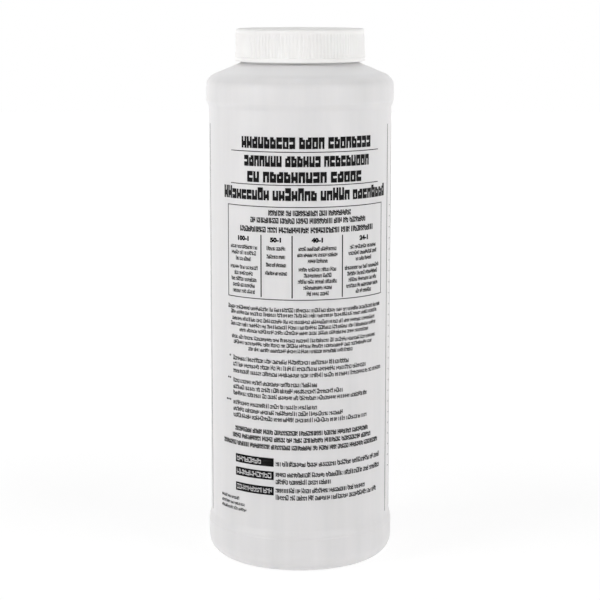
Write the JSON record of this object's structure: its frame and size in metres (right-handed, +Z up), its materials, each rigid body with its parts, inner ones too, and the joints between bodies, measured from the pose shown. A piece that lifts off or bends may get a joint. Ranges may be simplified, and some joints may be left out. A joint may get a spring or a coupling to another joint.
{
  "type": "fuel mixing bottle",
  "caption": "Tall cylindrical plastic bottle with a recessed print panel and a wide threaded neck, closed by a ribbed screw cap over a loose foam sealing disc.",
  "frame": {"origin": "centre of the standing ring, on the plane that the bottle stands on", "axes": "+Z up the bottle's axis, -Y out of the front of the print panel, +X to the right when the print is read"},
  "size_m": [0.0806, 0.0806, 0.2302],
  "materials": {
    "natural_polyethylene": "blow-moulded natural polyethylene, milky and softly glossy",
    "white_polypropylene": "injection-moulded white polypropylene",
    "foam_liner": "foamed polyethylene sheet, die cut",
    "black_ink": "screen-printed ink"
  },
  "bodies": {
    "bottle": {"bottle": "natural_polyethylene"},
    "disc": {"sealing_disc": "foam_liner"},
    "cap": {"screw_cap": "white_polypropylene"}
  },
  "joints": [
    {"name": "disc_lift", "type": "slide", "parent": "bottle", "child": "disc", "axis": [0, 0, 1], "range_m": [0, 0.0127]},
    {"name": "cap_twist", "type": "hinge", "parent": "disc", "child": "cap", "pos_m": [0, 0, 0.2287], "axis": [0, 0, 1], "range_deg": [0, 1080]}
  ],
  "couplings": [
    {"joint": "disc_lift", "follows": "cap_twist", "m_per_rad": 0.00067322}
  ]
}
